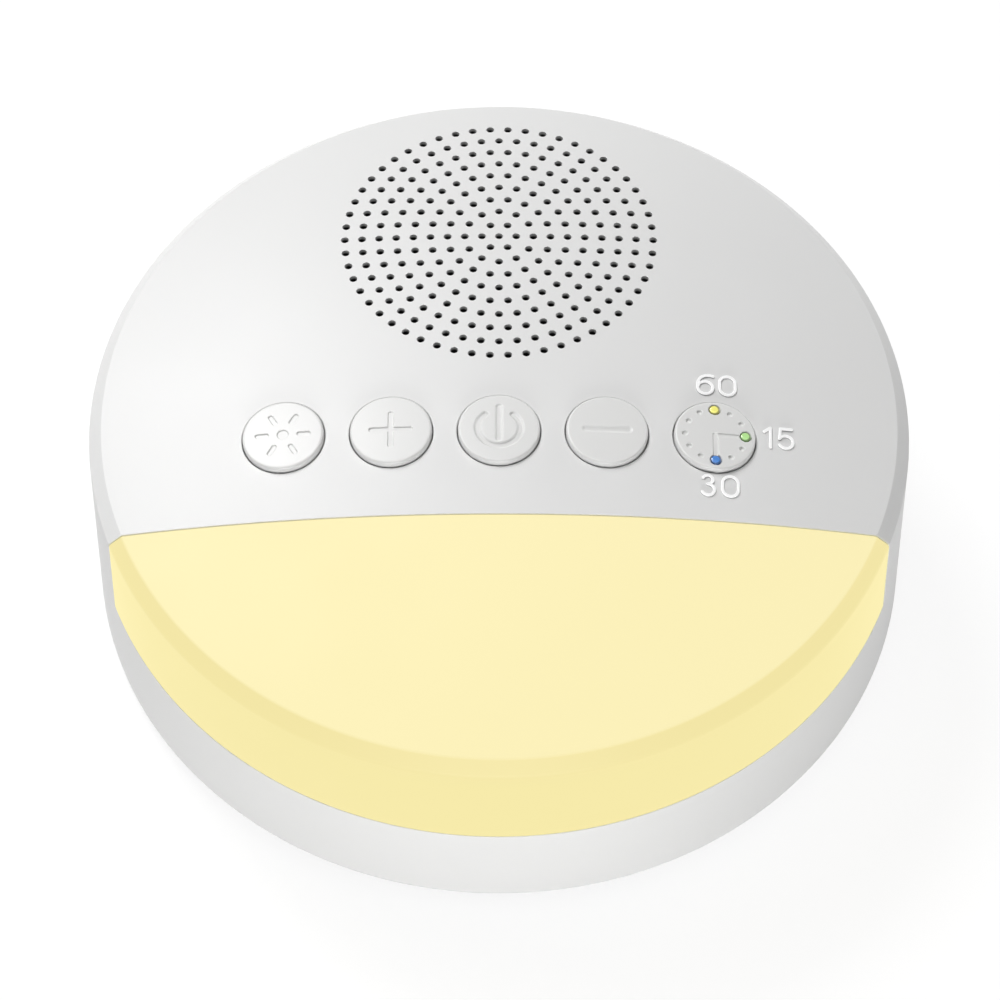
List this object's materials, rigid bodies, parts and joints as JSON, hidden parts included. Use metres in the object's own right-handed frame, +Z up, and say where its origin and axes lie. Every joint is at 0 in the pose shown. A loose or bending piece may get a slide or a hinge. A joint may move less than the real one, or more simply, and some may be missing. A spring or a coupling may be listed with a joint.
{
  "type": "white noise sound machine",
  "caption": "Round free-standing white noise sound machine with a domed top, a drilled speaker grille, a row of push buttons with a clock-face timer button, and a wrap-over night light lens.",
  "frame": {"origin": "on the axis of the round housing, on the surface that the rubber feet stand on", "axes": "+Z up; -Y towards the night light, the front that the user faces; +X to the user's right, where the timer button is"},
  "size_m": [0.104, 0.104, 0.038],
  "materials": {
    "white_plastic": "satin moulded",
    "lens_plastic": "satin, diffusing, warm yellow",
    "button_plastic": "satin moulded",
    "reflector_plastic": "matt white",
    "rubber": "matt",
    "screw_steel": "zinc plated",
    "speaker_steel": "zinc plated",
    "cloth": "fine black weave",
    "foam": "closed cell foam",
    "ferrite": "matt sintered",
    "surround_rubber": "soft rubber",
    "spider_cloth": "resin cloth",
    "cone_paper": "pressed pulp",
    "coil_wire": "enamelled copper wire",
    "phenolic": "phenolic board",
    "contact_brass": "tinned",
    "board_green": "solder mask",
    "board_white": "solder mask",
    "chip_black": "moulded",
    "switch_black": "moulded",
    "plunger_plastic": "moulded",
    "capacitor_sleeve": "sleeved can",
    "resistor_ceramic": "glazed chip",
    "socket_nylon": "nylon",
    "socket_steel": "nickel plated",
    "tongue_plastic": "moulded",
    "led_lens": "phosphor",
    "timer_led_lens": "clear",
    "yellow_pipe": "clear, polished",
    "green_pipe": "clear, polished",
    "blue_pipe": "clear, polished",
    "wire_sleeve": "flexible sleeve"
  },
  "bodies": {
    "root": {"upper_housing": "white_plastic", "light_lens": "lens_plastic", "base_cover": "white_plastic", "rubber_feet": "rubber", "base_screws": "screw_steel", "grille_cloth": "cloth", "speaker_gasket": "foam", "speaker_basket": "speaker_steel", "speaker_top_plate": "speaker_steel", "speaker_magnet": "ferrite", "speaker_yoke": "speaker_steel", "speaker_surround": "surround_rubber", "speaker_spider": "spider_cloth", "speaker_terminal_strip": "phenolic", "speaker_lugs": "contact_brass", "speaker_screws": "screw_steel", "control_board": "board_green", "control_board_screws": "screw_steel", "switch_bodies": "switch_black", "timer_leds": "timer_led_lens", "sound_processor": "chip_black", "sound_memory": "chip_black", "amplifier": "chip_black", "capacitors": "capacitor_sleeve", "resistors": "resistor_ceramic", "lead_sockets": "socket_nylon", "power_board": "board_green", "power_board_screws": "screw_steel", "power_socket": "socket_steel", "socket_tongue": "tongue_plastic", "light_reflector": "reflector_plastic", "light_board": "board_white", "light_leds": "led_lens", "light_board_screws": "screw_steel", "power_lead": "wire_sleeve", "speaker_lead": "wire_sleeve", "light_lead": "wire_sleeve"},
    "light_button": {"light_button_cap": "button_plastic", "light_switch_plunger": "plunger_plastic"},
    "plus_button": {"plus_button_cap": "button_plastic", "plus_switch_plunger": "plunger_plastic"},
    "power_button": {"power_button_cap": "button_plastic", "power_switch_plunger": "plunger_plastic"},
    "minus_button": {"minus_button_cap": "button_plastic", "minus_switch_plunger": "plunger_plastic"},
    "timer_button": {"timer_button_cap": "button_plastic", "timer_switch_plunger": "plunger_plastic", "yellow_indicator": "yellow_pipe", "green_indicator": "green_pipe", "blue_indicator": "blue_pipe"},
    "diaphragm": {"speaker_cone": "cone_paper", "voice_coil": "coil_wire", "dust_cap": "cone_paper"}
  },
  "joints": [
    {"name": "light_button_press", "type": "slide", "parent": "root", "child": "light_button", "axis": [0, 0, -1], "range_m": [0, 0.0004], "stiffness_N_per_m": 1500},
    {"name": "plus_button_press", "type": "slide", "parent": "root", "child": "plus_button", "axis": [0, 0, -1], "range_m": [0, 0.0004], "stiffness_N_per_m": 1500},
    {"name": "power_button_press", "type": "slide", "parent": "root", "child": "power_button", "axis": [0, 0, -1], "range_m": [0, 0.0004], "stiffness_N_per_m": 1500},
    {"name": "minus_button_press", "type": "slide", "parent": "root", "child": "minus_button", "axis": [0, 0, -1], "range_m": [0, 0.0004], "stiffness_N_per_m": 1500},
    {"name": "timer_button_press", "type": "slide", "parent": "root", "child": "timer_button", "axis": [0, 0, -1], "range_m": [0, 0.0004], "stiffness_N_per_m": 1500},
    {"name": "diaphragm_stroke", "type": "slide", "parent": "root", "child": "diaphragm", "axis": [0, 0, 1], "range_m": [-0.0005, 0.0005], "stiffness_N_per_m": 1000, "deforming": ["speaker_surround", "speaker_spider"]}
  ]
}
